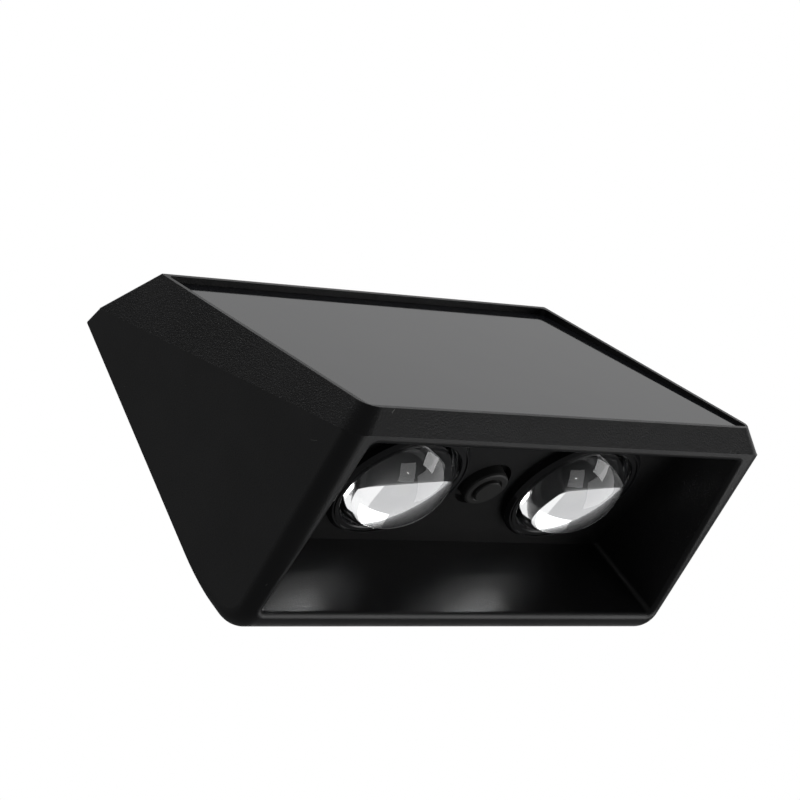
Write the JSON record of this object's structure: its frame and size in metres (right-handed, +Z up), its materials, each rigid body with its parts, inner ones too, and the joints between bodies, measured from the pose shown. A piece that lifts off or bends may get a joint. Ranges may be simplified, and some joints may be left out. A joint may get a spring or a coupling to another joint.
{
  "type": "solar fence light",
  "caption": "Wedge-shaped solar wall lamp with a slanted panel in front, and a recess underneath holding convex lenses and a push button.",
  "frame": {"origin": "on the rear wall's outer face, midway between the two keyhole seats", "axes": "+Z up, +Y into the wall it hangs on, X along its width; the lamp stands out to -Y"},
  "size_m": [0.1136, 0.0495, 0.0681],
  "materials": {
    "black_abs": "fine moulded texture",
    "black_abs_gloss": "smooth",
    "button_rubber": "matt, worn paler on the disc",
    "chip_epoxy": "moulded epoxy",
    "circuit_board": "black solder mask on glass-fibre board",
    "clear_lens": "polished clear acrylic",
    "clear_silicone": "translucent bead",
    "ferrite": "ferrite",
    "foam": "closed-cell foam",
    "led_phosphor": "yellow phosphor under clear resin",
    "nickel": "nickel-plated steel",
    "panel_glaze": "glossy clear resin over the cells",
    "silicon_cell": "dark silicon",
    "silicone_rubber": "matt black",
    "sleeve_pvc": "shrunk film",
    "small_ceramic": "ceramic with tinned ends",
    "switch_nylon": "moulded nylon",
    "white_abs": "matt white",
    "wire_black": "insulated wire",
    "wire_red": "insulated wire",
    "zinc_steel": "zinc-plated"
  },
  "bodies": {
    "lamp": {"battery_cell": "nickel", "battery_pad": "foam", "battery_sleeve": "sleeve_pvc", "battery_tabs": "nickel", "battery_wire_left": "wire_black", "battery_wire_right": "wire_red", "board_screws": "zinc_steel", "boost_coil": "ferrite", "button_gasket": "silicone_rubber", "charge_chip": "chip_epoxy", "cover_screws": "zinc_steel", "cover_seal": "silicone_rubber", "housing": "black_abs", "led_left": "white_abs", "led_phosphor_left": "led_phosphor", "led_phosphor_right": "led_phosphor", "led_right": "white_abs", "lens_clamp": "white_abs", "lens_left": "clear_lens", "lens_right": "clear_lens", "lens_ring_left": "black_abs_gloss", "lens_ring_right": "black_abs_gloss", "lens_seal_left": "silicone_rubber", "lens_seal_right": "silicone_rubber", "light_board": "circuit_board", "panel_board": "circuit_board", "panel_cover": "black_abs", "panel_glaze": "panel_glaze", "panel_glue": "clear_silicone", "panel_wire_left": "wire_red", "panel_wire_right": "wire_black", "small_parts": "small_ceramic", "solar_cells": "silicon_cell", "switch_body": "switch_nylon"},
    "button": {"button_cap": "button_rubber", "switch_plunger": "switch_nylon"}
  },
  "joints": [
    {"name": "button_press", "type": "slide", "parent": "lamp", "child": "button", "axis": [0, 0.0924, 0.9957], "range_m": [0, 0.0012], "stiffness_N_per_m": 1500}
  ]
}
